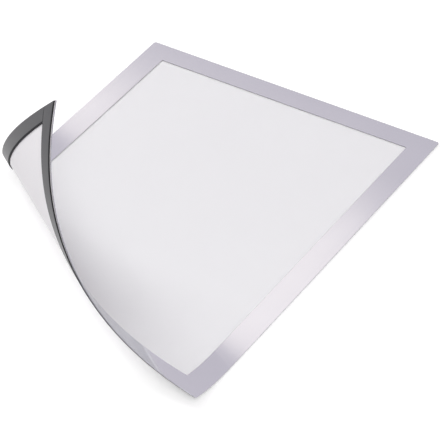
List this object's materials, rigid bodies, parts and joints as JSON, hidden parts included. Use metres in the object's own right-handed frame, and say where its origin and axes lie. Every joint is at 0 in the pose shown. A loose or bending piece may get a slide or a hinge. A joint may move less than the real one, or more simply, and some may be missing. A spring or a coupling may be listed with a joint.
{
  "type": "self-adhesive sign frame",
  "caption": "Flat self-adhesive sign frame for one sheet, silver border round a white window, magnetic cover hinged at its top edge, one lower corner curled up.",
  "frame": {"origin": "middle of the adhesive face of the top edge, in the plane of the wall", "axes": "+Z out of the wall towards the reader, +Y towards the top hinge edge, +X to the reader's right"},
  "size_m": [0.2367, 0.3221, 0.1143],
  "materials": {
    "rear_film": "satin white film",
    "rear_strip": "matt dark grey magnetic rubber",
    "adhesive_tape": "clear double-sided tape, seen over the dark strip",
    "sheet": "blank white paper",
    "window_film": "clear anti-glare film",
    "front_strip": "matt black magnetic rubber",
    "border_foil": "satin silver foil",
    "hinge_film": "thin satin film"
  },
  "bodies": {
    "rear_panel": {"rear_film": "rear_film", "rear_strip_top": "rear_strip", "rear_strip_right": "rear_strip", "rear_strip_bottom": "rear_strip", "rear_strip_left": "rear_strip", "adhesive_tape_top": "adhesive_tape", "adhesive_tape_right": "adhesive_tape", "adhesive_tape_bottom": "adhesive_tape", "adhesive_tape_left": "adhesive_tape", "insert_sheet": "sheet"},
    "front_cover": {"window_film": "window_film", "front_strip_top": "front_strip", "front_strip_right": "front_strip", "front_strip_bottom": "front_strip", "front_strip_left": "front_strip", "border_foil": "border_foil", "hinge_film": "hinge_film"}
  },
  "joints": [
    {"name": "cover_hinge", "type": "hinge", "parent": "rear_panel", "child": "front_cover", "pos_m": [0, 0.0066, 0.00089], "axis": [-1, 0, 0], "range_deg": [0, 150], "deforming": ["border_foil", "window_film", "front_strip_left", "front_strip_bottom", "hinge_film"]}
  ]
}
